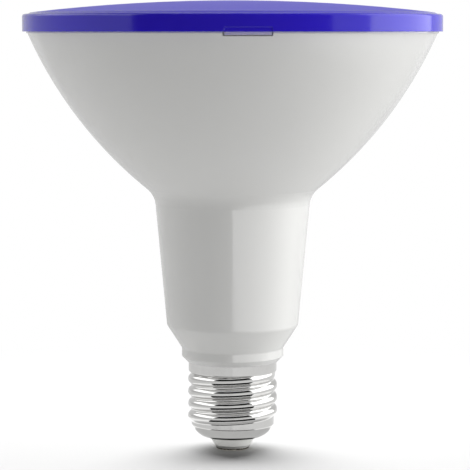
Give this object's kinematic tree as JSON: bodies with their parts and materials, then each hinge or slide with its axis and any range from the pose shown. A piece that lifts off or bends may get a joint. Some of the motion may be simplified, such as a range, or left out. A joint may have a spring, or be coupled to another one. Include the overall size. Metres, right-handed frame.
{
  "type": "led reflector bulb",
  "caption": "Reflector lamp with a white bowed housing, a clip-on deep blue front cover and an Edison screw cap.",
  "frame": {"origin": "centre of the lower face of the centre contact, at the foot of the screw cap", "axes": "+Z along the lamp's axis from the cap to the front cover; -Y is the side with the pry notch"},
  "size_m": [0.121, 0.121, 0.1309],
  "materials": {
    "blue_polycarbonate": "gloss",
    "white_pbt": "satin",
    "drawn_aluminium": "satin",
    "pressed_aluminium": "satin",
    "white_solder_mask": "satin",
    "led_package_resin": "gloss",
    "zinc_plated_steel": "satin",
    "white_nylon": "satin",
    "glass_epoxy": "satin",
    "capacitor_sleeve": "gloss",
    "ferrite": "matte",
    "yellow_film_case": "gloss",
    "blue_epoxy_coating": "gloss",
    "grey_lacquer": "gloss",
    "black_phenolic": "matte",
    "winding_tape": "gloss",
    "black_epoxy": "matte",
    "resistor_glaze": "gloss",
    "brown_insulation": "satin",
    "light_blue_insulation": "satin",
    "red_insulation": "satin",
    "black_insulation": "satin",
    "nickel_plated_brass": "polished",
    "grey_insulator": "matte",
    "nickel_plated_contact": "satin"
  },
  "bodies": {
    "root": {"front_cover": "blue_polycarbonate", "reflector_housing": "white_pbt", "heat_spreader_cup": "drawn_aluminium", "mounting_plate": "pressed_aluminium", "led_board": "white_solder_mask", "led_package_01": "led_package_resin", "led_package_02": "led_package_resin", "led_package_03": "led_package_resin", "led_package_04": "led_package_resin", "led_package_05": "led_package_resin", "led_package_06": "led_package_resin", "led_package_07": "led_package_resin", "led_package_08": "led_package_resin", "led_package_09": "led_package_resin", "led_package_10": "led_package_resin", "led_package_11": "led_package_resin", "led_package_12": "led_package_resin", "led_package_13": "led_package_resin", "led_package_14": "led_package_resin", "led_package_15": "led_package_resin", "led_package_16": "led_package_resin", "led_package_17": "led_package_resin", "led_package_18": "led_package_resin", "board_screws": "zinc_plated_steel", "led_connector": "white_nylon", "driver_board": "glass_epoxy", "input_capacitor": "capacitor_sleeve", "output_capacitor": "capacitor_sleeve", "filter_choke": "ferrite", "film_capacitor": "yellow_film_case", "surge_varistor": "blue_epoxy_coating", "fusible_resistor": "grey_lacquer", "transformer_core_left": "ferrite", "transformer_core_right": "ferrite", "transformer_bobbin": "black_phenolic", "transformer_winding": "winding_tape", "bridge_rectifier": "black_epoxy", "driver_chip": "black_epoxy", "output_diode": "black_epoxy", "chip_resistors": "resistor_glaze", "live_wire": "brown_insulation", "neutral_wire": "light_blue_insulation", "output_wire_positive": "red_insulation", "output_wire_negative": "black_insulation", "screw_shell": "nickel_plated_brass", "shell_insulator": "grey_insulator", "centre_contact": "nickel_plated_contact"}
  },
  "joints": []
}
